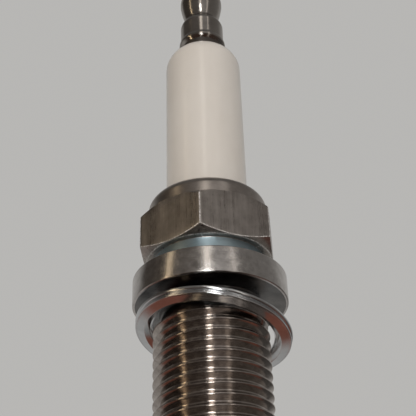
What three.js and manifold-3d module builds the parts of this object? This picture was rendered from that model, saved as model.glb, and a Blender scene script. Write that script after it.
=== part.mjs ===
// Gasket-seat spark plug, M14 x 1.25 thread, 19 mm reach, 16 mm hexagon, removable SAE terminal.
// Millimetres. +Z runs up the plug's axis to the terminal. The origin is the centre of the seat,
// the flat underside of the collar. -Y is the plug's front, and the ground electrode stands at +X.
import * as THREE from 'three';
import { mergeVertices } from 'three/addons/utils/BufferGeometryUtils.js';
import Module from 'manifold-3d';

const wasm = await Module();
wasm.setup();

// Metal shell
const THREAD = { pitch: 1.25, crestR: 6.93, rootR: 6.16, bottomZ: -17.589, pitches: 13 };
const REACH = 19;
const END_CHAMFER = 0.3;
const RELIEF_R = 6.2;
const RELIEF_BOTTOM_Z = -2.4;
const COLLAR_R = 9.43;
const COLLAR_TOP_Z = 3.4;
const COLLAR_LOWER_CHAMFER = 0.35;
const COLLAR_UPPER_CHAMFER = 0.2;
const NECK_R = 7.05;
const HEX_FLATS = 15.8;
const HEX_BOTTOM_Z = 5.9;
const HEX_TOP_Z = 11.9;
const HEX_LOWER_CHAMFER = 0.8;
const HEX_UPPER_CHAMFER = 1.1;
const HEX_CORNER_AZIMUTH = -5.7;
const RIM_R = 7.55;
const RIM_TOP_Z = 14.6;
const RIM_ROUND_R = 1.3;

// Insulator, its large section and the shell's bores
const INSULATOR_R = 5.25;
const SHOULDER_Z = 37.2;
const INSULATOR_TOP_R = 3.6;
const INSULATOR_TOP_Z = 40.05;
const SEAL_BODY_R = 6.2;
const SEAL_BODY_Z = [0.9, 9];
const SHELL_BORE_R = 6.3;
const SHELL_BORE_Z = [0.7, 13.5];
const RIM_LIP_GAP = 0.15;
const LEG_R = 4.8;
const LEG_BORE_R = 4.95;
const LEDGE_R = 4.1;
const LEDGE_Z = -5.9;
const LEDGE_SLOPE = 0.82;
const LEDGE_BOTTOM_Z = -7.6;
const NOSE_BORE_R = 4.8;
const NOSE_R = [2.12, 3.5];
const NOSE_TIP_Z = -20.5;
const CORE_BORE_R = 2;
const ELECTRODE_BORE_R = 1.3;
const ELECTRODE_STEP_Z = -1;

// Packing between shell and insulator
const SEAT_PACKING_HEIGHT = 0.3;
const TALC_Z = [11, 12.7];
const WIRE_Z = [10.5, 13.2];
const WIRE_R = 0.45;
const PACKING_MID_R = 5.775;
const PACKING_HALF_WIDTH = 0.47;

// Inner conductors, from the centre electrode's head up to the stud
const GLASS_GAP = 0.03;
const LOWER_GLASS_Z = [0.6, 3];
const RESISTOR_Z = [3, 9.2];
const UPPER_GLASS_Z = [9.2, 11.4];
const ELECTRODE_R = 1.25;
const ELECTRODE_HEAD_R = 1.85;
const ELECTRODE_END_Z = -21;
const COPPER_R = 0.72;
const COPPER_END_Z = -18.55;
const TIP_R = 0.35;
const SPARK_GAP = 0.8;
const TIP_END_Z = -21.7;

// Terminal
const STUD_SHAFT_R = 1.85;
const STUD_THREAD = { pitch: 0.7, crestR: 1.95, rootR: 1.56, bottomZ: 42.1, pitches: 10 };
const STUD_TOP_Z = 49.6;
const FLANGE_R = 3;
const FLANGE_TOP_Z = 41.5;
const NUT_FOOT_R = 3.32;
const NUT_FOOT_Z = [41.95, 42.3];
const NUT_R = 3.1;
const NUT_BARREL_Z = [42.75, 45.55];
const NUT_GROOVE_EDGE_R = 2.4;
const NUT_GROOVE_Z = [46.75, 47.42];
const NUT_KNOB_R = 3.07;
const NUT_KNOB_Z = [50.1, 50.7];
const NUT_TOP_Z = 52.75;
const NUT_BORE_R = 2.01;

// Ground electrode: a flat bar bent over the centre electrode
const BAR_THICKNESS = 1.2;
const BAR_WIDTH = 2.6;
const BAR_BEVEL = 0.12;
const BAR_OUTER_R = 6.02;
const BAR_REACH_PAST_AXIS = 1.3;
const BEND_R = 1;
const PAD_R = 0.5;
const PAD_HEIGHT = 0.2;

// Loose crush gasket, hanging askew with its back and right side low
const GASKET_R = 9.4;
const GASKET_HOLE_R = 7.25;
const GASKET_HALF_HEIGHT = 0.65;
const GASKET_CREASE_R = 8.12;
const GASKET_BEAD_R = 0.28;
const GASKET_LOWER_BEAD_Z = -0.14;
const GASKET_CENTRE = [0.24, 0.08, -3.32];
const GASKET_TILT_ABOUT_X = -7.6;
const GASKET_TILT_ABOUT_Y = 8.1;

const SEGMENTS = 36;
const STUD_SEGMENTS = 24;
const CLEARANCE = 0.03;
const SNAP = 1000;

const NICKEL = { color: 0x6e6560, roughness: 0.38, metalness: 1 };
const ZINC = { color: 0xa9adb0, roughness: 0.25, metalness: 1 };
const GLAZE = { color: 0xd8d0c6, roughness: 0.18, metalness: 0 };
const POLISHED = { color: 0x7d7875, roughness: 0.18, metalness: 1 };
const ELECTRODE_ALLOY = { color: 0x8f8a84, roughness: 0.4, metalness: 1 };
const COPPER = { color: 0xb4683f, roughness: 0.35, metalness: 1 };
const PRECIOUS = { color: 0xd4d6da, roughness: 0.2, metalness: 1 };
const SEAL_GLASS = { color: 0x4a4b45, roughness: 0.5, metalness: 0.2 };
const RESISTOR_MIX = { color: 0x2d2b2a, roughness: 0.8, metalness: 0 };
const PACKING_STEEL = { color: 0x77736e, roughness: 0.45, metalness: 1 };
const TALC = { color: 0xcfcbc2, roughness: 0.9, metalness: 0 };

const plug = new THREE.Group();

function addPart(name, geometry, look) {
  const mesh = new THREE.Mesh(geometry, new THREE.MeshStandardMaterial(look));
  mesh.name = name;
  plug.add(mesh);
  return mesh;
}

// A profile of [radius, z] pairs, turned about the axis. It runs up its outer side, and it either
// starts and ends on the axis or closes on its first point.
function turned(profile, segments = SEGMENTS) {
  const points = profile.map(([r, z]) => new THREE.Vector2(r, z));
  return new THREE.LatheGeometry(points, segments).rotateX(Math.PI / 2);
}

function ring(profile, segments = SEGMENTS) {
  return turned([...profile, profile[0]], segments);
}

function arcPoints(centre, radius, startDegrees, endDegrees, steps) {
  return Array.from({ length: steps + 1 }, (_, i) => {
    const angle = THREE.MathUtils.degToRad(startDegrees + ((endDegrees - startDegrees) * i) / steps);
    return [centre[0] + radius * Math.cos(angle), centre[1] + radius * Math.sin(angle)];
  });
}

function curvePoints(start, control, end, steps) {
  const [a, b, c] = [start, control, end].map(([r, z]) => new THREE.Vector2(r, z));
  return new THREE.QuadraticBezierCurve(a, b, c).getPoints(steps).map((p) => [p.x, p.y]);
}

function toSolid(geometry) {
  const bare = geometry.clone();
  bare.deleteAttribute('normal');
  bare.deleteAttribute('uv');
  const merged = mergeVertices(bare, 1e-3);
  const faces = [];
  for (let i = 0; i < merged.index.count; i += 3) {
    const face = [0, 1, 2].map((k) => merged.index.getX(i + k));
    if (new Set(face).size === 3) faces.push(...face);
  }
  return new wasm.Manifold(new wasm.Mesh({
    numProp: 3,
    vertProperties: new Float32Array(merged.attributes.position.array),
    triVerts: new Uint32Array(faces),
  }));
}

function toGeometry(solid) {
  const mesh = solid.getMesh();
  const geometry = new THREE.BufferGeometry();
  geometry.setAttribute('position', new THREE.BufferAttribute(mesh.vertProperties, 3));
  geometry.setIndex(new THREE.BufferAttribute(mesh.triVerts, 1));
  geometry.computeVertexNormals();
  return geometry;
}

// One pitch of a right-hand thread, as [share of the pitch, share of the depth].
const THREAD_FORM = [[0, 0], [0.43, 1], [0.57, 1]];

// A threaded rod: the rows of a lathe are lifted by one pitch in each turn, so that the end of a
// row meets the start of the row one pitch above it. The first and last pitch taper to nothing.
function threadedRod(thread, below, above, segments) {
  const rows = Array.from({ length: thread.pitches }, (_, p) => THREAD_FORM.map(([s, d]) => [p + s, d]));
  const form = [...rows.flat(), [thread.pitches, 0]];
  const profile = [...below, ...form.map(([s]) => [thread.rootR, thread.bottomZ + s]), ...above];
  const geometry = turned(profile, segments);
  const position = geometry.attributes.position;
  const depth = thread.crestR - thread.rootR;
  for (let column = 0; column <= segments; column += 1) {
    const turn = column / segments;
    form.forEach(([share, height], row) => {
      const fromTop = thread.pitches - share;
      const growth = Math.min(share < 1 ? turn : 1, fromTop < 1 ? 1 - turn : 1);
      const low = share < 1 ? share * turn : share - 1 + turn;
      const lift = fromTop < 1 ? thread.pitches - 1 - fromTop * (1 - turn) : low;
      const radius = thread.rootR + depth * height * growth;
      const z = Math.round((thread.bottomZ + thread.pitch * lift) * SNAP) / SNAP;
      const angle = 2 * Math.PI * turn;
      const index = column * profile.length + below.length + row;
      position.setXYZ(index, radius * Math.sin(angle), -radius * Math.cos(angle), z);
    });
  }
  return geometry;
}

function shellBarrel() {
  const endR = THREAD.rootR - END_CHAMFER;
  const below = [[0, -REACH], [endR, -REACH], [THREAD.rootR, END_CHAMFER - REACH]];
  const above = [[RELIEF_R, RELIEF_BOTTOM_Z], [RELIEF_R, 1], [0, 1]];
  return toSolid(threadedRod(THREAD, below, above, SEGMENTS));
}

// Collar, crimp neck and rolled rim, as one turned blank.
function shellHead() {
  return toSolid(turned([
    [0, 0],
    [COLLAR_R - COLLAR_LOWER_CHAMFER, 0],
    [COLLAR_R, COLLAR_LOWER_CHAMFER],
    [COLLAR_R, COLLAR_TOP_Z - COLLAR_UPPER_CHAMFER],
    [COLLAR_R - COLLAR_UPPER_CHAMFER, COLLAR_TOP_Z],
    [NECK_R + 0.1, COLLAR_TOP_Z],
    [NECK_R, COLLAR_TOP_Z + 0.15],
    [NECK_R, HEX_TOP_Z - 1],
    [RIM_R, HEX_TOP_Z - 0.5],
    ...arcPoints([RIM_R - RIM_ROUND_R, RIM_TOP_Z - RIM_ROUND_R], RIM_ROUND_R, 0, 90, 5),
    [INSULATOR_R + 0.25, RIM_TOP_Z],
    [0, RIM_TOP_Z],
  ]));
}

// The wrench hexagon: a six-sided prism whose corners are turned away above and below.
function shellHexagon() {
  const cornerR = HEX_FLATS / Math.sqrt(3);
  const flatR = HEX_FLATS / 2;
  const height = HEX_TOP_Z - HEX_BOTTOM_Z;
  const prism = new THREE.CylinderGeometry(cornerR, cornerR, height, 6).rotateX(Math.PI / 2);
  prism.rotateZ(THREE.MathUtils.degToRad(HEX_CORNER_AZIMUTH));
  prism.translate(0, 0, (HEX_TOP_Z + HEX_BOTTOM_Z) / 2);
  const chamfers = turned([
    [0, HEX_BOTTOM_Z],
    [flatR, HEX_BOTTOM_Z],
    [cornerR + 0.2, HEX_BOTTOM_Z + HEX_LOWER_CHAMFER],
    [cornerR + 0.2, HEX_TOP_Z - HEX_UPPER_CHAMFER],
    [flatR, HEX_TOP_Z],
    [0, HEX_TOP_Z],
  ]);
  return toSolid(prism).intersect(toSolid(chamfers));
}

// Height of the conical ledge that carries the insulator.
function ledgeZ(radius) {
  return LEDGE_Z + (radius - LEDGE_R) * LEDGE_SLOPE;
}

function shellBore() {
  const lip = INSULATOR_R + RIM_LIP_GAP;
  const [boreBottom, boreTop] = SHELL_BORE_Z;
  return toSolid(turned([
    [0, -REACH - 1],
    [NOSE_BORE_R, -REACH - 1],
    [NOSE_BORE_R, LEDGE_BOTTOM_Z - 0.7],
    [LEDGE_R, LEDGE_BOTTOM_Z],
    [LEDGE_R, LEDGE_Z],
    [LEG_BORE_R, ledgeZ(LEG_BORE_R)],
    [LEG_BORE_R, boreBottom - 1.3],
    [SHELL_BORE_R, boreBottom],
    ...curvePoints([SHELL_BORE_R, boreTop], [SHELL_BORE_R - 0.1, boreTop + 0.5], [lip, boreTop + 0.6], 3),
    [lip, RIM_TOP_Z + 1],
    [0, RIM_TOP_Z + 1],
  ]));
}

function metalShell() {
  return toGeometry(shellBarrel().add(shellHead()).add(shellHexagon()).subtract(shellBore()));
}

function insulator() {
  const onPacking = SEAT_PACKING_HEIGHT + 2 * CLEARANCE;
  const [tipR, baseR] = NOSE_R;
  const legFoot = baseR + 0.25;
  const [bodyBottom, bodyTop] = SEAL_BODY_Z;
  const shoulder = [
    [INSULATOR_R, SHOULDER_Z],
    [INSULATOR_R, SHOULDER_Z + 1.6],
    [INSULATOR_TOP_R, INSULATOR_TOP_Z],
  ];
  return ring([
    [ELECTRODE_BORE_R, NOSE_TIP_Z],
    [tipR - 0.32, NOSE_TIP_Z],
    [tipR, NOSE_TIP_Z + 0.32],
    [baseR, LEDGE_BOTTOM_Z + 0.2],
    [legFoot, ledgeZ(legFoot) + onPacking],
    [LEG_R, ledgeZ(LEG_R) + onPacking],
    [LEG_R, bodyBottom - 1.4],
    [SEAL_BODY_R, bodyBottom],
    [SEAL_BODY_R, bodyTop],
    [INSULATOR_R + 0.1, bodyTop + 0.85],
    [INSULATOR_R, bodyTop + 1.1],
    ...curvePoints(...shoulder, 6),
    [CORE_BORE_R + 0.1, INSULATOR_TOP_Z],
    [CORE_BORE_R, INSULATOR_TOP_Z - 0.1],
    [CORE_BORE_R, ELECTRODE_STEP_Z],
    [ELECTRODE_BORE_R, ELECTRODE_STEP_Z - 0.5],
  ]);
}

// A thin washer lying on the shell's conical ledge.
function seatPacking() {
  const inner = LEDGE_R + 0.08;
  const outer = LEG_BORE_R - 0.1;
  const under = CLEARANCE;
  const over = CLEARANCE + SEAT_PACKING_HEIGHT;
  return ring([
    [inner, ledgeZ(inner) + under],
    [outer, ledgeZ(outer) + under],
    [outer, ledgeZ(outer) + over],
    [inner, ledgeZ(inner) + over],
  ]);
}

function crimpWire(z) {
  return turned(arcPoints([PACKING_MID_R, z], WIRE_R, -90, 270, 8));
}

function talcRing() {
  const inner = PACKING_MID_R - PACKING_HALF_WIDTH;
  const outer = PACKING_MID_R + PACKING_HALF_WIDTH;
  const [bottom, top] = TALC_Z;
  return ring([[inner, bottom], [outer, bottom], [outer, top], [inner, top]]);
}

// A cylinder that fills the insulator's bore between two levels.
function boreFill([bottom, top]) {
  const radius = CORE_BORE_R - CLEARANCE;
  return turned([[0, bottom + GLASS_GAP], [radius, bottom + GLASS_GAP], [radius, top], [0, top]]);
}

// The nickel jacket is open at its head, where the copper core shows.
function centreElectrode() {
  const top = LOWER_GLASS_Z[0];
  const bore = COPPER_R + CLEARANCE;
  return turned([
    [0, ELECTRODE_END_Z],
    [0.55, ELECTRODE_END_Z],
    [ELECTRODE_R, ELECTRODE_END_Z + 0.6],
    [ELECTRODE_R, ELECTRODE_STEP_Z - 0.45],
    [ELECTRODE_HEAD_R, ELECTRODE_STEP_Z + 0.1],
    [ELECTRODE_HEAD_R, top - 0.8],
    [ELECTRODE_HEAD_R - 0.45, top],
    [bore, top],
    [bore, COPPER_END_Z + 0.55],
    [0, COPPER_END_Z - 0.05],
  ]);
}

function centreElectrodeCore() {
  const top = LOWER_GLASS_Z[0];
  const profile = [[0, COPPER_END_Z], [COPPER_R, COPPER_END_Z + 0.6], [COPPER_R, top], [0, top]];
  return turned(profile, STUD_SEGMENTS);
}

function centreElectrodeTip() {
  const top = ELECTRODE_END_Z - CLEARANCE;
  return turned([
    [0, TIP_END_Z],
    [TIP_R - 0.05, TIP_END_Z],
    [TIP_R, TIP_END_Z + 0.05],
    [TIP_R, top],
    [0, top],
  ], STUD_SEGMENTS);
}

function terminalStud() {
  const below = [
    [0, UPPER_GLASS_Z[1] + GLASS_GAP],
    [1.4, UPPER_GLASS_Z[1] + GLASS_GAP],
    [STUD_SHAFT_R, UPPER_GLASS_Z[1] + 0.5],
    [STUD_SHAFT_R, INSULATOR_TOP_Z + CLEARANCE],
    [FLANGE_R, INSULATOR_TOP_Z + CLEARANCE],
    [FLANGE_R, FLANGE_TOP_Z - 0.1],
    [FLANGE_R - 0.1, FLANGE_TOP_Z],
    [STUD_THREAD.rootR, FLANGE_TOP_Z],
  ];
  const above = [
    [STUD_THREAD.rootR, STUD_TOP_Z - 0.4],
    [STUD_THREAD.rootR - 0.4, STUD_TOP_Z],
    [0, STUD_TOP_Z],
  ];
  return toGeometry(toSolid(threadedRod(STUD_THREAD, below, above, STUD_SEGMENTS)));
}

// The SAE terminal: a barrel on a thin foot, a waist for the cap's spring clip, and a knob. Its
// bore is blind.
function terminalNut() {
  const bottom = FLANGE_TOP_Z + CLEARANCE;
  const [footBottom, footTop] = NUT_FOOT_Z;
  const [barrelBottom, barrelTop] = NUT_BARREL_Z;
  const [grooveBottom, grooveTop] = NUT_GROOVE_Z;
  const grooveMiddle = (grooveBottom + grooveTop) / 2;
  const [knobBottom, knobTop] = NUT_KNOB_Z;
  const grooveStart = [NUT_GROOVE_EDGE_R, grooveBottom];
  const grooveEnd = [NUT_GROOVE_EDGE_R, grooveTop];
  const shoulder = [[NUT_R, barrelTop], [NUT_R - 0.13, barrelTop + 0.65], grooveStart];
  const groove = [grooveStart, [NUT_GROOVE_EDGE_R - 0.2, grooveMiddle], grooveEnd];
  const underside = [grooveEnd, [NUT_KNOB_R - 0.2, knobBottom - 1.55], [NUT_KNOB_R, knobBottom]];
  return turned([
    [0, STUD_TOP_Z + 0.5],
    [NUT_BORE_R, STUD_TOP_Z + 0.2],
    [NUT_BORE_R, bottom + 0.25],
    [NUT_BORE_R + 0.25, bottom],
    [FLANGE_R - 0.05, bottom],
    [NUT_FOOT_R, footBottom],
    [NUT_FOOT_R, footTop],
    [NUT_R, barrelBottom],
    ...curvePoints(...shoulder, 4),
    ...curvePoints(...groove, 2).slice(1, -1),
    ...curvePoints(...underside, 4),
    [NUT_KNOB_R, knobTop],
    [NUT_KNOB_R - 0.12, knobTop + 0.8],
    [NUT_KNOB_R - 0.35, knobTop + 1.5],
    [NUT_KNOB_R - 0.8, NUT_TOP_Z],
    [0, NUT_TOP_Z],
  ], STUD_SEGMENTS);
}

// The bar's side outline in X and Z: up the shell's end face, round the bend, over the axis.
function groundElectrode() {
  const padTop = TIP_END_Z - SPARK_GAP;
  const faceZ = padTop - PAD_HEIGHT - CLEARANCE;
  const outerX = BAR_OUTER_R - BAR_BEVEL;
  const innerX = BAR_OUTER_R - BAR_THICKNESS + BAR_BEVEL;
  const topZ = -REACH - CLEARANCE - BAR_BEVEL;
  const innerZ = faceZ - BAR_BEVEL;
  const outerZ = faceZ - BAR_THICKNESS + BAR_BEVEL;
  const outerBend = BEND_R + BAR_THICKNESS - 2 * BAR_BEVEL;
  const outline = new THREE.Shape();
  outline.moveTo(innerX, topZ);
  outline.lineTo(innerX, innerZ + BEND_R);
  outline.absarc(innerX - BEND_R, innerZ + BEND_R, BEND_R, 0, -Math.PI / 2, true);
  outline.lineTo(-BAR_REACH_PAST_AXIS, innerZ);
  outline.lineTo(-BAR_REACH_PAST_AXIS, outerZ);
  outline.lineTo(outerX - outerBend, outerZ);
  outline.absarc(outerX - outerBend, outerZ + outerBend, outerBend, -Math.PI / 2, 0, false);
  outline.lineTo(outerX, topZ);
  outline.closePath();
  const bar = new THREE.ExtrudeGeometry(outline, {
    depth: BAR_WIDTH - 2 * BAR_BEVEL,
    curveSegments: 6,
    bevelSize: BAR_BEVEL,
    bevelThickness: BAR_BEVEL,
    bevelSegments: 1,
  });
  return bar.rotateX(Math.PI / 2).translate(0, BAR_WIDTH / 2 - BAR_BEVEL, 0);
}

function groundElectrodePad() {
  const top = TIP_END_Z - SPARK_GAP;
  const bottom = top - PAD_HEIGHT;
  return turned([[0, bottom], [PAD_R, bottom], [PAD_R, top], [0, top]], STUD_SEGMENTS);
}

// Folded sheet steel: two beads round the rim with the fold's gap between them. Underneath, the sheet
// falls from the rim to a crease, and from there it curls up to the hole.
function sealingGasket() {
  const half = GASKET_HALF_HEIGHT;
  const beadX = GASKET_R - GASKET_BEAD_R;
  const upperBeadZ = half - GASKET_BEAD_R;
  return ring([
    [GASKET_HOLE_R, -half + 0.6],
    [GASKET_HOLE_R + 0.3, -half + 0.25],
    [GASKET_CREASE_R - 0.12, -half + 0.02],
    [GASKET_CREASE_R + 0.1, -half],
    ...arcPoints([beadX, GASKET_LOWER_BEAD_Z], GASKET_BEAD_R, -75, 55, 4),
    [beadX + 0.08, (GASKET_LOWER_BEAD_Z + upperBeadZ) / 2],
    ...arcPoints([beadX, upperBeadZ], GASKET_BEAD_R, -55, 90, 4),
    [GASKET_HOLE_R + 0.4, half],
    [GASKET_HOLE_R, half - 0.3],
  ]);
}

addPart('metal_shell', metalShell(), NICKEL);
addPart('insulator', insulator(), GLAZE);
addPart('seat_packing', seatPacking(), PACKING_STEEL);
addPart('lower_crimp_ring', crimpWire(WIRE_Z[0]), PACKING_STEEL);
addPart('talc_ring', talcRing(), TALC);
addPart('upper_crimp_ring', crimpWire(WIRE_Z[1]), PACKING_STEEL);
addPart('centre_electrode', centreElectrode(), ELECTRODE_ALLOY);
addPart('centre_electrode_core', centreElectrodeCore(), COPPER);
addPart('centre_electrode_tip', centreElectrodeTip(), PRECIOUS);
addPart('lower_glass_seal', boreFill(LOWER_GLASS_Z), SEAL_GLASS);
addPart('resistor', boreFill(RESISTOR_Z), RESISTOR_MIX);
addPart('upper_glass_seal', boreFill(UPPER_GLASS_Z), SEAL_GLASS);
addPart('terminal_stud', terminalStud(), POLISHED);
addPart('terminal_nut', terminalNut(), POLISHED);
addPart('ground_electrode', groundElectrode(), ELECTRODE_ALLOY);
addPart('ground_electrode_pad', groundElectrodePad(), PRECIOUS);

const gasket = addPart('sealing_gasket', sealingGasket(), ZINC);
gasket.position.set(...GASKET_CENTRE);
gasket.rotation.set(
  THREE.MathUtils.degToRad(GASKET_TILT_ABOUT_X),
  THREE.MathUtils.degToRad(GASKET_TILT_ABOUT_Y),
  0,
);

export default plug;
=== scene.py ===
"""A gasket-seat spark plug seen from below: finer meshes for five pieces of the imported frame, procedural
looks for all of them, and the camera, lights and surroundings."""
import math

import bmesh
import bpy
import numpy as np
from mathutils import Matrix, Vector


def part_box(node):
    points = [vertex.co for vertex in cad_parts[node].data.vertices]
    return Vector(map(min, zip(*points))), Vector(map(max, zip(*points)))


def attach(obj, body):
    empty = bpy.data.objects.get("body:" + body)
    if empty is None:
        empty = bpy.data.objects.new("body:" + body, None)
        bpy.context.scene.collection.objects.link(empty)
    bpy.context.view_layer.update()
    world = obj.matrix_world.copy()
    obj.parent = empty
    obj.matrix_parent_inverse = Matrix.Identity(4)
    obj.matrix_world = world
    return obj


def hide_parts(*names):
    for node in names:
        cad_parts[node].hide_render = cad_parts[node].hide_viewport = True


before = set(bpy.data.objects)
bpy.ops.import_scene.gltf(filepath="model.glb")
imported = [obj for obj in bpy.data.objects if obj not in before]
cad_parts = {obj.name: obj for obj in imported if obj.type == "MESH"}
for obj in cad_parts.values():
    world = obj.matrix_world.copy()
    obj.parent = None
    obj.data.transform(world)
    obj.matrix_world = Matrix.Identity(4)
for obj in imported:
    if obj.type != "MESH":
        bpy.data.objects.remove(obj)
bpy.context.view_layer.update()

MM = 0.001
COLUMNS = 360
SHARP_DEG = 32
MERGE_DISTANCE = 0.0002 * MM
SHORTEST_EDGE = 0.00001 * MM

# ---------------------------------------------------------------- measures, from the frame
# Lengths are in millimetres. Outer radii and end levels come from the boxes of the CAD pieces; the measures
# between them repeat the part's own, or refine them where a mesh here is finer.


def node_radius(node):
    low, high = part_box(node)
    return (high[0] - low[0]) / 2 / MM


def node_levels(node):
    low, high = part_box(node)
    return low[2] / MM, high[2] / MM


SHELL_BOTTOM, SHELL_TOP = node_levels("metal_shell")
NOSE_BOTTOM, INSULATOR_TOP = node_levels("insulator")
STUD_BOTTOM, STUD_TOP = node_levels("terminal_stud")
NUT_BOTTOM, NUT_TOP = node_levels("terminal_nut")
COLLAR_R = node_radius("metal_shell")
SEAL_BODY_R = node_radius("insulator")
NUT_FOOT_R = node_radius("terminal_nut")
STUD_FLANGE_R = node_radius("terminal_stud")

THREAD_PITCH = 1.25
THREAD_CREST_R = 6.93
THREAD_ROOT_R = 6.16
THREAD_START = SHELL_BOTTOM + 1.411
THREAD_PITCHES = 13
RELIEF_R = 6.2
RELIEF_BOTTOM = -2.5
COLLAR_TOP = 3.4
NECK_R = 7.05
HEX_FLATS = 15.8
HEX_BOTTOM = 5.9
HEX_TOP = 11.9
HEX_CORNER_DEG = -5.7
HEX_CORNER_FILLET = 0.12
LOWER_CHAMFER_SLOPE = 0.60
UPPER_CHAMFER_SLOPE = 0.85
RIM_R = 7.55

SHELL_BORE_R = 6.3
SHELL_BORE_TOP = 13.5
LEG_BORE_R = 4.95
NOSE_BORE_R = 4.8
LEDGE_R = 4.1
LEDGE_TOP = -5.9
LEDGE_BOTTOM = -7.6

INSULATOR_R = 5.25
CORE_BORE_R = 2.0
ELECTRODE_BORE_R = 1.3
DOME_START = 37.2

CLEARANCE = 0.03
STUD_SHAFT_R = 1.85
STUD_PITCH = 0.7
STUD_PITCHES = 10
STUD_THREAD_START = 42.1
STUD_ROOT_R = 1.56
STUD_CREST_R = 1.95

NUT_FOOT_TOP = 42.3
NUT_BARREL_R = 3.1
NUT_BARREL_BOTTOM, NUT_BARREL_TOP = 42.75, 45.55
NUT_GROOVE_EDGE_R = 2.4
NUT_GROOVE_BOTTOM, NUT_GROOVE_TOP = 46.75, 47.42
NUT_KNOB_R = 3.07
NUT_KNOB_BOTTOM, NUT_KNOB_TOP = 50.1, 50.7
NUT_BORE_R = 2.01

GASKET_CENTRE = (0.24, 0.08, -3.32)
GASKET_TILT_X_DEG, GASKET_TILT_Y_DEG = -7.6, 8.1
GASKET_HOLE_R = 7.25
GASKET_CREASE_R = 8.12
GASKET_HALF_HEIGHT = 0.65

# ---------------------------------------------------------------- mesh tools


def rounded(points, steps=5):
    """The line through (r, z) points. A point inside the line may add a fillet radius as (r, z, fillet), and
    its corner becomes an arc of that radius, or of a smaller one where its sides are short."""
    out = []
    for i, point in enumerate(points):
        fillet = point[2] if len(point) > 2 else 0
        here = np.array(point[:2], float)
        if not fillet or i in (0, len(points) - 1):
            out.append(tuple(here))
            continue
        before = np.array(points[i - 1][:2], float) - here
        after = np.array(points[i + 1][:2], float) - here
        reach_in, reach_out = np.linalg.norm(before), np.linalg.norm(after)
        before, after = before / reach_in, after / reach_out
        half = math.acos(np.clip(before @ after, -1, 1)) / 2
        setback = min(fillet / math.tan(half), reach_in * 0.49, reach_out * 0.49)
        radius = setback * math.tan(half)
        middle = here + (before + after) / np.linalg.norm(before + after) * radius / math.sin(half)
        start, end = here + before * setback, here + after * setback
        first = math.atan2(*(start - middle)[::-1])
        sweep = (math.atan2(*(end - middle)[::-1]) - first + math.pi) % (2 * math.pi) - math.pi
        for k in range(steps + 1):
            angle = first + sweep * k / steps
            out.append((middle[0] + radius * math.cos(angle), middle[1] + radius * math.sin(angle)))
    return out


def arc(centre, radius, start_deg, end_deg, steps):
    angles = np.radians(np.linspace(start_deg, end_deg, steps + 1))
    return [(centre[0] + radius * math.cos(a), centre[1] + radius * math.sin(a)) for a in angles]


def bezier(start, control, end, steps):
    t = np.linspace(0, 1, steps + 1)[:, None]
    a, b, c = np.array(start), np.array(control), np.array(end)
    return [tuple(p) for p in (1 - t) ** 2 * a + 2 * t * (1 - t) * b + t ** 2 * c]


def loft(name, rows, closed=False, columns=COLUMNS, marks=()):
    """Lofts rows of (radius, level), each a number or an array round the axis, into one clean mesh.
    marks lists (first row, last row, material index) for stretches with a material of their own."""
    turn = 2 * math.pi * np.arange(columns + 1) / columns
    count = len(rows)
    coords = np.empty((count, columns + 1, 3))
    for i, (radius, level) in enumerate(rows):
        coords[i, :, 0] = radius * np.sin(turn)
        coords[i, :, 1] = -radius * np.cos(turn)
        coords[i, :, 2] = level
    index = np.arange(count * (columns + 1)).reshape(count, columns + 1)
    last = count if closed else count - 1
    faces, owners = [], []
    for i in range(last):
        low, high = index[i], index[(i + 1) % count]
        faces += np.stack([low[:-1], low[1:], high[1:], high[:-1]], 1).tolist()
        owners += [next((m for a, b, m in marks if a <= i < b), 0)] * columns
    mesh = bpy.data.meshes.new(name)
    mesh.from_pydata((coords.reshape(-1, 3) * MM).tolist(), [], faces)
    mesh.polygons.foreach_set("material_index", owners)
    finish_mesh(mesh)
    piece = bpy.data.objects.new(name, mesh)
    bpy.context.scene.collection.objects.link(piece)
    return piece


def finish_mesh(mesh):
    """Joins the seam and the points on the axis, turns every face out and smooths all but sharp edges."""
    work = bmesh.new()
    work.from_mesh(mesh)
    bmesh.ops.remove_doubles(work, verts=work.verts, dist=MERGE_DISTANCE)
    bmesh.ops.dissolve_degenerate(work, edges=work.edges, dist=SHORTEST_EDGE)
    bmesh.ops.recalc_face_normals(work, faces=work.faces)
    work.to_mesh(mesh)
    work.free()
    mesh.shade_smooth()
    mesh.set_sharp_from_angle(angle=math.radians(SHARP_DEG))


def thread_form():
    """One pitch of metric thread as (share of the pitch, share of the depth): straight flanks between
    a rounded root and a crest with eased edges."""
    depth = 0.6134
    root_edge, crest_edge = 0.083, 0.4375
    root_fillet, crest_fillet = 0.13, 0.045
    outline = rounded([(0, 0), (0, root_edge, root_fillet), (depth, crest_edge, crest_fillet),
                       (depth, 1 - crest_edge, crest_fillet), (0, 1 - root_edge, root_fillet), (0, 1)])
    return [(share, height / depth) for height, share in outline[:-1]]


def thread_rows(pitch, pitches, start, root, crest, columns=COLUMNS):
    """Rows lifted by one pitch a turn, so that a row's end meets the start of the row a pitch above."""
    turn = np.arange(columns + 1) / columns
    form = [(p + share, height) for p in range(pitches) for share, height in thread_form()]
    rows = []
    for share, height in form + [(pitches, 0)]:
        growth = np.ones(columns + 1)
        lift = share - 1 + turn
        if share < 1:
            growth, lift = turn, share * turn
        if pitches - share < 1:
            growth, lift = 1 - turn, pitches - 1 - (pitches - share) * (1 - turn)
        rows.append((root + (crest - root) * height * growth, start + pitch * lift))
    return rows


# ---------------------------------------------------------------- camera and stage


CAMERA_LENS = 74.9
CAMERA_PLACE = (0.08, -94.5, -45.64)
CAMERA_ELEVATION_DEG = 32.39
CAMERA_ROLL_DEG = -1.84
FLOOR_LEVEL = -160
FLOOR_RADIUS = 2500
LIGHTS_CENTRE = 15


def aim(piece, direction, roll_deg=0.0):
    piece.rotation_euler = Vector(direction).to_track_quat("-Z", "Y").to_euler()
    piece.rotation_euler.rotate_axis("Z", math.radians(roll_deg))


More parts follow.
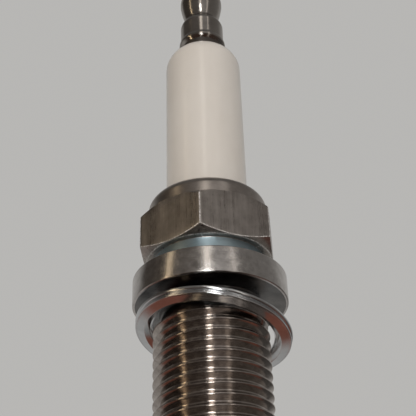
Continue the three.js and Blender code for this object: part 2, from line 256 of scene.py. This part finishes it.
def add_camera():
    data = bpy.data.cameras.new("view")
    camera = bpy.data.objects.new("view", data)
    bpy.context.scene.collection.objects.link(camera)
    data.lens = CAMERA_LENS
    data.clip_start = MM
    camera.location = Vector(CAMERA_PLACE) * MM
    elevation = math.radians(CAMERA_ELEVATION_DEG)
    aim(camera, (0, math.cos(elevation), math.sin(elevation)), CAMERA_ROLL_DEG)
    bpy.context.scene.camera = camera


def add_floor():
    bpy.ops.mesh.primitive_circle_add(vertices=96, radius=FLOOR_RADIUS * MM, fill_type="NGON",
                                      location=(0, 0, FLOOR_LEVEL * MM))
    floor = bpy.context.object
    floor.name = "floor"
    floor.visible_glossy = False
    material = bpy.data.materials.new("floor_paper")
    material.use_nodes = True
    shader = material.node_tree.nodes["Principled BSDF"]
    shader.inputs["Base Color"].default_value = (0.80, 0.79, 0.77, 1)
    shader.inputs["Roughness"].default_value = 0.9
    floor.data.materials.append(material)


def add_strip(name, azimuth, heights, width, radiance, colour, distance=0.6, glossy=True):
    """A soft light that faces the plug, distance metres away. Azimuth 0 is the front and grows to the right;
    heights are the angles of its two ends above the level, and width is an angle too. All are in degrees."""
    low, high = (math.radians(h) for h in heights)
    half = (high - low) / 2
    data = bpy.data.lights.new(name, "AREA")
    data.shape = "RECTANGLE"
    data.size = 2 * distance * math.tan(math.radians(width) / 2)
    data.size_y = 2 * distance * math.tan(half)
    data.energy = radiance * math.pi * data.size * data.size_y
    data.color = colour
    light = bpy.data.objects.new(name, data)
    bpy.context.scene.collection.objects.link(light)
    a, e = math.radians(azimuth), low + half
    place = Vector((math.sin(a) * math.cos(e), -math.cos(a) * math.cos(e), math.sin(e)))
    light.location = place * distance + Vector((0, 0, LIGHTS_CENTRE * MM))
    aim(light, -place)
    light.visible_camera = False
    light.visible_glossy = glossy


class Graph:
    """A node tree with short helpers for the nodes that the looks and the surroundings share."""

    def __init__(self, tree):
        self.nodes = tree.nodes
        self.links = tree.links

    def node(self, kind, **settings):
        made = self.nodes.new("ShaderNode" + kind)
        for name, value in settings.items():
            setattr(made, name, value)
        return made

    def feed(self, socket, value):
        """Sets a socket to a number or a colour, or links a node's output to it."""
        if isinstance(value, (int, float)):
            socket.default_value = value
        elif isinstance(value, tuple):
            socket.default_value = (*value, 1)
        else:
            self.links.new(value, socket)

    def maths(self, operation, *values):
        made = self.node("Math", operation=operation)
        for socket, value in zip(made.inputs, values):
            self.feed(socket, value)
        return made.outputs[0]

    def ramp(self, value, stops):
        """A colour ramp through (place, colour) stops, where one number stands for a grey."""
        made = self.node("ValToRGB")
        elements = made.color_ramp.elements
        for k, (place, colour) in enumerate(stops):
            stop = elements[k] if k < 2 else elements.new(place)
            stop.position = place
            stop.color = (*colour, 1) if isinstance(colour, tuple) else (colour, colour, colour, 1)
        self.feed(made.inputs["Fac"], value)
        return made.outputs["Color"]

    def mix(self, factor, first, second, mode="MIX"):
        made = self.node("Mix", data_type="RGBA", blend_type=mode)
        colour_inputs = (made.inputs[6], made.inputs[7])
        self.feed(made.inputs["Factor"], factor)
        self.feed(colour_inputs[0], first)
        self.feed(colour_inputs[1], second)
        return made.outputs[2]


def add_world():
    """The surroundings that the metal mirrors: pale paper behind, a dim warm room at the sides and in front,
    and below them a reddish band round a dark spot straight down. The camera itself sees plain grey paper."""
    world = bpy.data.worlds.new("studio")
    bpy.context.scene.world = world
    world.use_nodes = True
    graph = Graph(world.node_tree)
    graph.nodes.clear()

    def centred(source, scale=0.5):
        return graph.maths("MULTIPLY_ADD", source, scale, 0.5)

    def step(source, start, end):
        return graph.ramp(source, ((start, 0.0), (end, 1.0)))

    split = graph.node("SeparateXYZ")
    graph.feed(split.inputs[0], graph.node("TexCoord").outputs["Generated"])
    right, back, up = split.outputs
    azimuth = graph.maths("ARCTAN2", right, graph.maths("MULTIPLY", back, -1.0))
    round_view = graph.ramp(centred(azimuth, 0.5 / math.pi), WORLD_ROUND)
    height = centred(up)
    above = graph.mix(step(height, 0.80, 0.97), round_view, graph.ramp(height, WORLD_ZENITH))
    below_back = graph.mix(step(centred(right), 0.56, 0.72), graph.ramp(height, WORLD_BELOW_BACK),
                           graph.ramp(height, WORLD_BELOW_RIGHT))
    below = graph.mix(step(centred(back), 0.42, 0.58), graph.ramp(height, WORLD_BELOW_FRONT), below_back)
    room = graph.node("Background")
    graph.feed(room.inputs["Color"], graph.mix(step(height, 0.36, 0.50), below, above))
    paper = graph.node("Background")
    graph.feed(paper.inputs["Color"], SEEN_PAPER)
    seen = graph.node("MixShader")
    graph.feed(seen.inputs["Fac"], graph.node("LightPath").outputs["Is Camera Ray"])
    graph.feed(seen.inputs[1], room.outputs[0])
    graph.feed(seen.inputs[2], paper.outputs[0])
    graph.feed(graph.node("OutputWorld").inputs["Surface"], seen.outputs[0])


def turn_share(azimuth):
    """Where an azimuth in degrees from the front, growing to the right, falls on a ramp from 0 to 1."""
    return azimuth / 360 + 0.5


SEEN_PAPER = (0.477, 0.471, 0.458)
PAPER = (0.47, 0.46, 0.445)
PAPER_SIDE = (0.36, 0.35, 0.335)
ROOM_DARK = (0.060, 0.052, 0.045)
ROOM = (0.125, 0.112, 0.10)
ROOM_FRONT = (0.36, 0.34, 0.325)
WORLD_ROUND = (
    (turn_share(-180), PAPER),
    (turn_share(-128), PAPER_SIDE),
    (turn_share(-112), ROOM_DARK),
    (turn_share(-75), ROOM_DARK),
    (turn_share(-45), ROOM),
    (turn_share(-14), ROOM),
    (turn_share(0), ROOM_FRONT),
    (turn_share(26), ROOM_FRONT),
    (turn_share(48), (0.17, 0.158, 0.148)),
    (turn_share(80), (0.17, 0.16, 0.15)),
    (turn_share(105), (0.20, 0.19, 0.18)),
    (turn_share(128), PAPER_SIDE),
    (turn_share(180), PAPER),
)
WORLD_ZENITH = ((0.80, ROOM), (1.0, (0.15, 0.145, 0.14)))
# below the level: from straight down, 0, to the horizon, 0.50
NADIR = (0.010, 0.010, 0.010)
REDDISH = (0.17, 0.065, 0.045)
RED_BAND = ((0.055, NADIR), (0.08, REDDISH), (0.17, REDDISH))
WORLD_BELOW_BACK = (*RED_BAND, (0.215, PAPER_SIDE), (0.50, PAPER))
WORLD_BELOW_RIGHT = (*RED_BAND, (0.205, (0.06, 0.058, 0.055)), (0.50, (0.12, 0.115, 0.11)))
WORLD_BELOW_FRONT = ((0.055, NADIR), (0.10, (0.07, 0.04, 0.03)), (0.25, (0.06, 0.048, 0.04)), (0.50, ROOM))

add_camera()
add_floor()
add_world()
add_strip("key_strip", -3, (-42, 16), 6, 11.0, (1.0, 0.98, 0.95))
add_strip("key_glow", -3, (20, 52), 8, 1.25, (1.0, 0.93, 0.84))
add_strip("warm_strip", -61, (-50, 18), 2.5, 5.0, (1.0, 0.78, 0.50))
add_strip("warm_glow", -60, (18, 42), 5, 1.3, (1.0, 0.80, 0.54))
add_strip("beige_strip", 35, (-45, 52), 4, 1.0, (1.0, 0.93, 0.85))
add_strip("top_fill", 0, (60, 120), 60, 1.1, (1.0, 0.98, 0.96), 0.9, glossy=False)
add_strip("front_fill", 3, (-8, 40), 50, 0.80, (1.0, 0.955, 0.93), 0.9, glossy=False)

# ---------------------------------------------------------------- materials


class Look(Graph):
    """A node material, with helpers for its textures and its surface."""

    def __init__(self, name, colour, roughness, metallic=0.0, **sockets):
        self.material = bpy.data.materials.new(name)
        self.material.use_nodes = True
        super().__init__(self.material.node_tree)
        self.shader = self.nodes["Principled BSDF"]
        self.where = self.node("TexCoord").outputs["Object"]
        self.shader.inputs["Base Color"].default_value = (*colour, 1)
        self.shader.inputs["Roughness"].default_value = roughness
        self.shader.inputs["Metallic"].default_value = metallic
        for socket, value in sockets.items():
            self.shader.inputs[socket.replace("_", " ")].default_value = value

    def noise(self, stretch, detail=4.0, rough=0.55):
        """Noise with its grain length in mm along X, Y and Z."""
        place = self.node("Mapping")
        place.inputs["Scale"].default_value = [1 / (MM * s) for s in stretch]
        self.feed(place.inputs["Vector"], self.where)
        noise = self.node("TexNoise")
        noise.inputs["Scale"].default_value = 1.0
        noise.inputs["Detail"].default_value = detail
        noise.inputs["Roughness"].default_value = rough
        self.feed(noise.inputs["Vector"], place.outputs[0])
        return noise.outputs["Fac"]

    def wear_and_highlight_edges(self, corner_deg, reach_deg):
        """White along the hexagon's upright corners and just above the edge of its lower chamfer: spanner
        wear and a painted highlight.
        """
        split = self.node("SeparateXYZ")
        self.feed(split.inputs[0], self.where)
        x, y, z = split.outputs
        turn = self.maths("ARCTAN2", x, self.maths("MULTIPLY", y, -1.0))
        off = self.maths("PINGPONG", self.maths("SUBTRACT", turn, math.radians(corner_deg)), math.radians(30))
        squares = self.maths("ADD", self.maths("MULTIPLY", x, x), self.maths("MULTIPLY", y, y))
        radius = self.maths("POWER", squares, 0.5)
        chamfer_start = (HEX_BOTTOM - LOWER_CHAMFER_SLOPE * HEX_FLATS / 2) * MM
        chamfer = self.maths("MULTIPLY_ADD", radius, LOWER_CHAMFER_SLOPE, chamfer_start)
        above = self.maths("SUBTRACT", z, chamfer)
        near_corner = self.maths("LESS_THAN", off, math.radians(reach_deg))
        corner = self.maths("MULTIPLY", near_corner, self.maths("GREATER_THAN", above, 0.02 * MM))
        edge = self.maths("COMPARE", above, 0.07 * MM, 0.05 * MM)
        return self.maths("MAXIMUM", corner, edge)

    def colour(self, source):
        self.feed(self.shader.inputs["Base Color"], source)

    def metallic(self, source):
        self.feed(self.shader.inputs["Metallic"], source)

    def roughness(self, source):
        self.feed(self.shader.inputs["Roughness"], source)

    def bump(self, heights):
        """Chains bumps of (height source, depth in mm)."""
        normal = None
        for source, depth in heights:
            bump = self.node("Bump")
            bump.inputs["Distance"].default_value = depth * MM
            bump.inputs["Strength"].default_value = 1.0
            self.feed(bump.inputs["Height"], source)
            if normal:
                self.feed(bump.inputs["Normal"], normal)
            normal = bump.outputs["Normal"]
        self.feed(self.shader.inputs["Normal"], normal)


def metal_look(name, dark, light, roughness, grain, depth, patch=2.5):
    """Metal between a dark and a light tone: patches of one size in mm, and fine marks with a grain length
    in mm along X, Y and Z. The marks stand out by depth, in mm."""
    look = Look(name, light, roughness[0], 1.0)
    marks = look.noise(grain, 6.0, 0.7)
    patches = look.noise((patch, patch, patch), 3.0)
    tone = look.ramp(patches, ((0.3, dark), (0.7, light)))
    look.colour(look.mix(0.35, tone, look.ramp(marks, ((0.3, dark), (0.75, light)))))
    low, high = roughness
    look.roughness(look.ramp(look.mix(0.5, patches, marks), ((0.3, low), (0.7, high))))
    look.bump([(marks, depth)])
    return look.material


def hexagon_look():
    """Drawn hexagon stock: long upright streaks, dull pits, and pale lines on the corners and just above the
    lower chamfer, which are spanner wear and a painted highlight.
    """
    look = Look("hex_nickel", (0.5, 0.46, 0.43), 0.3, 1.0)
    fine = look.noise((0.05, 0.05, 1.8), 6.0, 0.75)
    bands = look.noise((0.55, 0.55, 30), 2.0)
    patches = look.noise((1.6, 1.6, 1.6), 4.0, 0.6)
    pits = look.ramp(look.noise((0.10, 0.10, 0.22), 3.0, 0.6), ((0.66, 0.0), (0.72, 1.0)))
    broad = look.mix(0.45, patches, bands)
    tone = look.ramp(broad, ((0.34, (0.27, 0.24, 0.22)), (0.66, (0.60, 0.56, 0.53))))
    streaks = look.ramp(fine, ((0.3, (0.22, 0.20, 0.18)), (0.7, (0.66, 0.62, 0.59))))
    tone = look.mix(0.35, tone, streaks)
    tone = look.mix(pits, tone, (0.13, 0.115, 0.10))
    broken = look.ramp(look.noise((0.12, 0.12, 0.14), 3.0, 0.8), ((0.46, 0.0), (0.54, 1.0)))
    # painted highlight: the pale, less metallic lines on the corners and the chamfer edge, which also stand
    # for spanner wear
    wear_and_highlight = look.mix(1.0, look.wear_and_highlight_edges(HEX_CORNER_DEG, 0.5), broken, "MULTIPLY")
    look.colour(look.mix(wear_and_highlight, tone, (0.88, 0.86, 0.84)))
    look.metallic(look.mix(wear_and_highlight, (1.0, 1.0, 1.0), (0.25, 0.25, 0.25)))
    look.roughness(look.ramp(look.mix(0.5, bands, fine), ((0.3, 0.22), (0.7, 0.40))))
    look.bump([(fine, 0.004), (patches, 0.010)])
    return look.material


def glaze_look():
    """Off-white alumina, a little cloudy, under a clear glaze with a faint orange-peel."""
    look = Look("glazed_alumina", (0.74, 0.70, 0.655), 0.3, Coat_Weight=0.45, Coat_Roughness=0.07)
    cloud = look.noise((6, 6, 14), 3.0)
    look.colour(look.ramp(cloud, ((0.35, (0.72, 0.68, 0.63)), (0.65, (0.765, 0.73, 0.685)))))
    look.bump([(look.noise((1.6, 1.6, 2.4), 2.0), 0.004)])
    return look.material


THREAD_STEEL = metal_look("thread_nickel", (0.30, 0.265, 0.24), (0.56, 0.51, 0.475),
                          roughness=(0.10, 0.20), grain=(0.5, 0.5, 0.06), depth=0.004, patch=0.8)
TURNED_STEEL = metal_look("turned_nickel", (0.44, 0.42, 0.405), (0.70, 0.68, 0.665),
                          roughness=(0.14, 0.26), grain=(1.4, 1.4, 0.035), depth=0.004, patch=0.9)
# painted shade: a darker steel for the thread relief and the collar's underside, where the gasket shades them
SHADED_STEEL = metal_look("painted_shade_nickel", (0.10, 0.10, 0.10), (0.22, 0.215, 0.21),
                          roughness=(0.16, 0.26), grain=(2.5, 2.5, 0.05), depth=0.002)
HEX_STEEL = hexagon_look()
NECK_STEEL = metal_look("heat_tinted_neck", (0.30, 0.41, 0.47), (0.48, 0.59, 0.64),
                        roughness=(0.38, 0.46), grain=(1.2, 1.2, 0.10), depth=0.002)
RIM_STEEL = metal_look("rolled_rim", (0.30, 0.27, 0.25), (0.54, 0.50, 0.47),
                       roughness=(0.26, 0.36), grain=(0.5, 0.5, 0.12), depth=0.003)
ZINC = metal_look("zinc_fold", (0.50, 0.515, 0.53), (0.80, 0.815, 0.83),
                  roughness=(0.10, 0.18), grain=(0.30, 0.30, 0.08), depth=0.008)
ZINC_SHEET = metal_look("zinc_sheet", (0.55, 0.565, 0.58), (0.72, 0.735, 0.75),
                        roughness=(0.10, 0.17), grain=(0.9, 0.9, 0.9), depth=0.001)
# painted shade: the stud is unplated steel made near-black, so its flange between the nut and the insulator
# shows the shaded gap there
STUD_PAINTED_SHADE_STEEL = metal_look("stud_painted_shade_steel", (0.10, 0.09, 0.085), (0.20, 0.185, 0.17),
                        roughness=(0.35, 0.5), grain=(1.5, 1.5, 0.05), depth=0.002)
TERMINAL_STEEL = metal_look("terminal_nickel", (0.32, 0.30, 0.28), (0.46, 0.435, 0.41),
                            roughness=(0.12, 0.20), grain=(1.5, 1.5, 0.04), depth=0.003)
ELECTRODE_NICKEL = metal_look("drawn_nickel", (0.34, 0.32, 0.30), (0.58, 0.56, 0.53),
                              roughness=(0.28, 0.45), grain=(1.2, 0.08, 0.08), depth=0.004)
PRECIOUS = metal_look("precious_metal", (0.66, 0.67, 0.70), (0.84, 0.85, 0.87),
                      roughness=(0.16, 0.28), grain=(0.2, 0.2, 0.03), depth=0.002, patch=0.4)
COPPER = metal_look("copper", (0.55, 0.27, 0.16), (0.80, 0.45, 0.30),
                    roughness=(0.25, 0.40), grain=(0.6, 0.6, 0.06), depth=0.003)
PACKING_STEEL = metal_look("packing_steel", (0.28, 0.26, 0.24), (0.48, 0.46, 0.43),
                           roughness=(0.35, 0.5), grain=(0.3, 0.3, 0.1), depth=0.005)
GLAZE = glaze_look()


def powder_look(name, dark, light, grain, roughness):
    """Pressed or fired powder: specks between two tones, with a grain length in mm."""
    look = Look(name, light, roughness)
    speck = look.noise((grain, grain, grain), 5.0)
    look.colour(look.ramp(speck, ((0.35, dark), (0.65, light))))
    look.bump([(speck, 0.02)])
    return look.material


TALC = powder_look("talc", (0.66, 0.64, 0.60), (0.84, 0.82, 0.78), 0.25, 0.9)
SEAL_GLASS = powder_look("seal_glass", (0.10, 0.10, 0.09), (0.34, 0.30, 0.24), 0.2, 0.4)
RESISTOR_MIX = powder_look("resistor_mix", (0.04, 0.04, 0.04), (0.16, 0.15, 0.14), 0.3, 0.7)

# ---------------------------------------------------------------- shell


def hexagon_radius():
    """Radius of the hexagon's outline round the axis, with its corners eased by a small fillet."""
    fillet = HEX_CORNER_FILLET
    half_side_angle = math.radians(30)
    turn = np.degrees(2 * math.pi * np.arange(COLUMNS + 1) / COLUMNS)
    off = np.radians((turn - HEX_CORNER_DEG + 30) % 60 - 30)
    side = HEX_FLATS / 2
    flat = side / np.cos(half_side_angle - np.abs(off))
    # the fillet is a circle tangent to both flats, with its centre on the corner's bisector
    centre = (side - fillet) / math.cos(half_side_angle)
    arc_r = centre * np.cos(off) + np.sqrt(np.maximum(fillet ** 2 - (centre * np.sin(off)) ** 2, 0))
    tangent = math.atan2(fillet * math.sin(half_side_angle), centre + fillet * math.cos(half_side_angle))
    return np.where(np.abs(off) < tangent, arc_r, flat)


def hexagon_rows():
    """Underside, lower chamfer, flats, upper chamfer: the chamfers' edges follow the hexagon's outline."""
    outline = hexagon_radius()
    side = HEX_FLATS / 2
    near_outline = side + (outline - side) * 0.97
    inset = outline - 0.015
    low = HEX_BOTTOM + (outline - side) * LOWER_CHAMFER_SLOPE
    high = HEX_TOP - (outline - side) * UPPER_CHAMFER_SLOPE
    ease = 0.10
    rows = [(NECK_R + 0.02, HEX_BOTTOM), (side - 0.12, HEX_BOTTOM), (side + 0.01, HEX_BOTTOM + 0.02)]
    rows += [(near_outline, low - ease * 0.35), (inset, low + ease * 0.25), (outline, low + ease)]
    rows += [(outline, low + (high - low) * k / 6) for k in range(1, 6)]
    rows += [(outline, high - ease), (inset, high - ease * 0.25), (near_outline, high + ease * 0.35)]
    rows += [(side + 0.01, HEX_TOP - 0.02), (side - 0.10, HEX_TOP)]
    return rows


def build_shell():
    """One closed profile: up the outside from the thread to the rolled rim, and back down the bore."""
    rows = []
    marks = []
    materials = (THREAD_STEEL, TURNED_STEEL, NECK_STEEL, HEX_STEEL, SHADED_STEEL, RIM_STEEL)
    neck_bottom = COLLAR_TOP + 0.3
    neck_steps = 8
    lip_r = INSULATOR_R + 0.15

    def add(new_rows, material):
        start = len(rows)
        rows.extend(new_rows)
        marks.append((max(start - 1, 0), len(rows) - 1, materials.index(material)))

    add(rounded([(NOSE_BORE_R + 0.05, SHELL_BOTTOM), (5.86, SHELL_BOTTOM, 0.1),
                 (THREAD_ROOT_R, SHELL_BOTTOM + 0.3, 0.1), (THREAD_ROOT_R, THREAD_START - 0.2)]),
        THREAD_STEEL)
    add(thread_rows(THREAD_PITCH, THREAD_PITCHES, THREAD_START, THREAD_ROOT_R, THREAD_CREST_R), THREAD_STEEL)
    # the relief and the collar's underside take the painted shade steel
    add(rounded([(RELIEF_R - 0.02, RELIEF_BOTTOM), (RELIEF_R, 0, 0.2), (COLLAR_R - 0.32, 0)]), SHADED_STEEL)
    add(rounded([(COLLAR_R - 0.31, 0), (COLLAR_R, 0.02, 0.30), (COLLAR_R, COLLAR_TOP, 0.16),
                 (NECK_R, COLLAR_TOP, 0.15), (NECK_R, neck_bottom)]), TURNED_STEEL)
    add([(NECK_R - 0.05 * math.sin(math.pi * k / neck_steps),
          neck_bottom + (HEX_BOTTOM - COLLAR_TOP - 0.35) * k / neck_steps)
         for k in range(1, neck_steps + 1)], NECK_STEEL)
    add(hexagon_rows(), HEX_STEEL)
    add(rounded([(RIM_R + 0.12, HEX_TOP, 0.1), (RIM_R, HEX_TOP + 0.25, 0.1), (RIM_R, 13.0)]), RIM_STEEL)
    add(arc((RIM_R - 1.3, 13.25), 1.32, 5, 88, 12), RIM_STEEL)
    add(rounded([(INSULATOR_R + 0.4, SHELL_TOP, 0.15), (lip_r, SHELL_TOP - 0.25, 0.1), (lip_r, 14.1),
                 (SHELL_BORE_R - 0.2, 13.95), (SHELL_BORE_R, SHELL_BORE_TOP), (SHELL_BORE_R, 0.7),
                 (LEG_BORE_R, -0.6), (LEG_BORE_R, LEDGE_TOP + 0.7), (LEDGE_R, LEDGE_TOP),
                 (LEDGE_R, LEDGE_BOTTOM), (NOSE_BORE_R, LEDGE_BOTTOM - 0.7),
                 (NOSE_BORE_R, SHELL_BOTTOM, 0.08)]), TURNED_STEEL)
    piece = loft("shell", rows, closed=True, marks=marks)
    for material in materials:
        piece.data.materials.append(material)
    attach(piece, "plug_body")
    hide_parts("metal_shell")


build_shell()


# ---------------------------------------------------------------- insulator


def build_insulator():
    """The nose, the cone that sits on the ledge, the wide body inside the shell, the barrel and its dome."""
    onto_ledge = LEDGE_TOP + 0.36
    cone_top_r = LEG_BORE_R - 0.15
    profile = rounded([
        (ELECTRODE_BORE_R, NOSE_BOTTOM, 0.1), (2.12, NOSE_BOTTOM, 0.4), (3.5, -7.4, 0.3),
        (3.75, onto_ledge - 0.29, 0.1), (cone_top_r, onto_ledge + 0.57, 0.2), (cone_top_r, -0.5, 0.3),
        (SEAL_BODY_R, 0.9, 0.3), (SEAL_BODY_R, 9.0, 0.3), (INSULATOR_R + 0.02, 9.9, 0.3), (INSULATOR_R, 10.2),
    ])
    profile += bezier((INSULATOR_R, DOME_START), (INSULATOR_R, DOME_START + 1.6), (3.6, INSULATOR_TOP), 24)
    profile += rounded([(3.3, INSULATOR_TOP), (CORE_BORE_R + 0.05, INSULATOR_TOP, 0.1),
                        (CORE_BORE_R, INSULATOR_TOP - 0.3), (CORE_BORE_R, -1.0, 0.1),
                        (ELECTRODE_BORE_R, -1.5, 0.1)])
    piece = loft("glazed_insulator", profile, closed=True, columns=192)
    piece.data.materials.append(GLAZE)
    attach(piece, "plug_body")
    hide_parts("insulator")


build_insulator()


# ---------------------------------------------------------------- terminal


def build_stud():
    """The shaft in the insulator, the flange on top of it and the M4 thread that carries the nut."""
    flange_bottom, flange_top = INSULATOR_TOP + CLEARANCE, NUT_BOTTOM - CLEARANCE
    rows = rounded([(0, STUD_BOTTOM), (1.4, STUD_BOTTOM, 0.1), (STUD_SHAFT_R, STUD_BOTTOM + 0.47, 0.1),
                    (STUD_SHAFT_R, flange_bottom), (STUD_FLANGE_R, flange_bottom, 0.08),
                    (STUD_FLANGE_R, flange_top, 0.12), (STUD_ROOT_R + 0.04, flange_top, 0.05),
                    (STUD_ROOT_R, flange_top + 0.2)])
    rows += thread_rows(STUD_PITCH, STUD_PITCHES, STUD_THREAD_START, STUD_ROOT_R, STUD_CREST_R, 120)
    rows += rounded([(STUD_ROOT_R, STUD_TOP - 0.45), (STUD_ROOT_R, STUD_TOP - 0.4, 0.1),
                     (STUD_ROOT_R - 0.4, STUD_TOP, 0.1), (0, STUD_TOP)])
    piece = loft("threaded_stud", rows, columns=120)
    piece.data.materials.append(STUD_PAINTED_SHADE_STEEL)
    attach(piece, "plug_body")
    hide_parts("terminal_stud")


def build_nut():
    """A blind nut: foot, barrel, shoulder, groove, the curve out to the knob, and the knob's eased top."""
    groove_start = (NUT_GROOVE_EDGE_R, NUT_GROOVE_BOTTOM)
    groove_end = (NUT_GROOVE_EDGE_R, NUT_GROOVE_TOP)
    outside = rounded([(2.3, NUT_BOTTOM), (2.92, NUT_BOTTOM, 0.06), (NUT_FOOT_R, 41.93, 0.09),
                       (NUT_FOOT_R, NUT_FOOT_TOP, 0.12), (NUT_BARREL_R, NUT_BARREL_BOTTOM, 0.25),
                       (NUT_BARREL_R, NUT_BARREL_TOP - 0.05)], 6)
    outside += bezier((NUT_BARREL_R, NUT_BARREL_TOP), (NUT_BARREL_R - 0.13, NUT_BARREL_TOP + 0.65),
                      groove_start, 14)
    outside += bezier(groove_start, (NUT_GROOVE_EDGE_R - 0.2, 47.08), groove_end, 8)[1:-1]
    outside += bezier(groove_end, (NUT_KNOB_R - 0.2, NUT_KNOB_BOTTOM - 1.55),
                      (NUT_KNOB_R, NUT_KNOB_BOTTOM), 18)
    outside += rounded([(NUT_KNOB_R, NUT_KNOB_BOTTOM + 0.2), (NUT_KNOB_R, NUT_KNOB_TOP, 0.4),
                        (NUT_KNOB_R - 0.12, 51.5, 0.4), (NUT_KNOB_R - 0.35, 52.2, 0.35),
                        (NUT_KNOB_R - 0.9, NUT_TOP, 0.25), (0, NUT_TOP)], 6)
    bore = [(0, STUD_TOP + 0.5), (NUT_BORE_R, STUD_TOP + 0.2), (NUT_BORE_R, NUT_BOTTOM + 0.25)]
    piece = loft("screw_terminal", bore + outside, columns=160)
    piece.data.materials.append(TERMINAL_STEEL)
    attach(piece, "terminal_nut")
    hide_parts("terminal_nut")


build_stud()
build_nut()


# ---------------------------------------------------------------- gasket


def build_gasket():
    """Folded sheet: two beads with a small ridge between them round the rim, and below them a sheet that
    falls to a crease and curls up to the hole. It hangs a little out of true, as a loose washer does."""
    hole, half = GASKET_HOLE_R, GASKET_HALF_HEIGHT
    lip = rounded([(hole, 0.1), (hole, -0.05, 0.1), (hole + 0.28, -half + 0.2, 0.25),
                   (GASKET_CREASE_R, -half - 0.13, 0.12), (9.0, -0.555), (9.08, -0.54)])
    rim = arc((9.15, -0.40), 0.15, -75, 60, 8) + [(9.17, -0.25), (9.12, -0.22)]
    rim += arc((9.13, -0.14), 0.07, -60, 60, 5) + [(9.12, -0.06), (9.11, -0.02), (9.15, 0.01)]
    rim += arc((9.12, 0.27), 0.28, -60, 70, 10) + arc((8.95, 0.45), 0.2, 62, 90, 4)
    top = rounded([(8.8, half), (hole + 0.4, half, 0.2), (hole, half - 0.3, 0.2), (hole, 0.2)])
    piece = loft("crush_gasket", lip + rim + top, closed=True, marks=[(0, len(lip) - 1, 1)])
    tilt_x = Matrix.Rotation(math.radians(GASKET_TILT_X_DEG), 4, "X")
    tilt_y = Matrix.Rotation(math.radians(GASKET_TILT_Y_DEG), 4, "Y")
    piece.data.transform(Matrix.Translation(Vector(GASKET_CENTRE) * MM) @ tilt_x @ tilt_y)
    for material in (ZINC, ZINC_SHEET):
        piece.data.materials.append(material)
    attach(piece, "gasket")
    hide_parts("sealing_gasket")


build_gasket()

# ---------------------------------------------------------------- carried-over CAD nodes

CARRIED = {
    "seat_packing": PACKING_STEEL, "lower_crimp_ring": PACKING_STEEL, "upper_crimp_ring": PACKING_STEEL,
    "talc_ring": TALC, "centre_electrode": ELECTRODE_NICKEL, "centre_electrode_core": COPPER,
    "centre_electrode_tip": PRECIOUS, "lower_glass_seal": SEAL_GLASS, "resistor": RESISTOR_MIX,
    "upper_glass_seal": SEAL_GLASS, "ground_electrode": ELECTRODE_NICKEL, "ground_electrode_pad": PRECIOUS,
}
for node, material in CARRIED.items():
    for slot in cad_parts[node].material_slots:
        slot.material = material

bpy.context.scene.view_settings.view_transform = "Standard"
